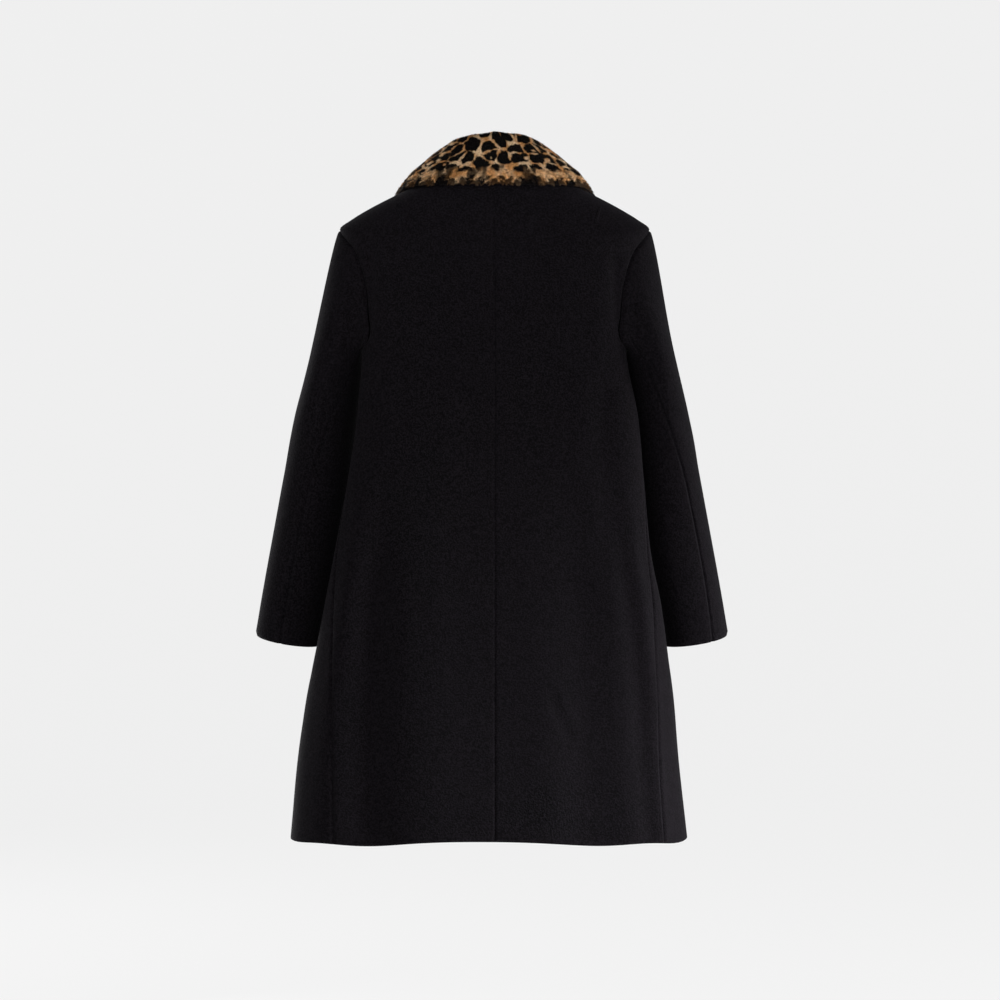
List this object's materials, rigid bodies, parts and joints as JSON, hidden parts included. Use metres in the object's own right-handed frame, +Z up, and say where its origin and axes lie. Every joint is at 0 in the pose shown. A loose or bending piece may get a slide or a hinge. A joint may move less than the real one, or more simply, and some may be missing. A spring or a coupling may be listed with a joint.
{
  "type": "shearling-collar coat",
  "caption": "Hollow A-line wool coat with a centre back seam, two-piece sleeves and a fold-over spotted shearling collar, filled out as if worn.",
  "frame": {"origin": "middle of the neck opening, level with the side neck points, where the shoulders carry the coat", "axes": "+Z up, -Y towards the front, +X towards the wearer's left"},
  "size_m": [0.6686, 0.312, 0.9866],
  "materials": {
    "wool": "felted near-black wool cloth with a short nap",
    "shearling": "dense tan shearling pile with black leopard rosettes"
  },
  "bodies": {
    "root": {"back_left": "wool", "back_right": "wool", "front_left": "wool", "front_right": "wool", "top_sleeve_left": "wool", "top_sleeve_right": "wool", "under_sleeve_left": "wool", "under_sleeve_right": "wool", "collar": "shearling", "under_collar": "wool"}
  },
  "joints": []
}
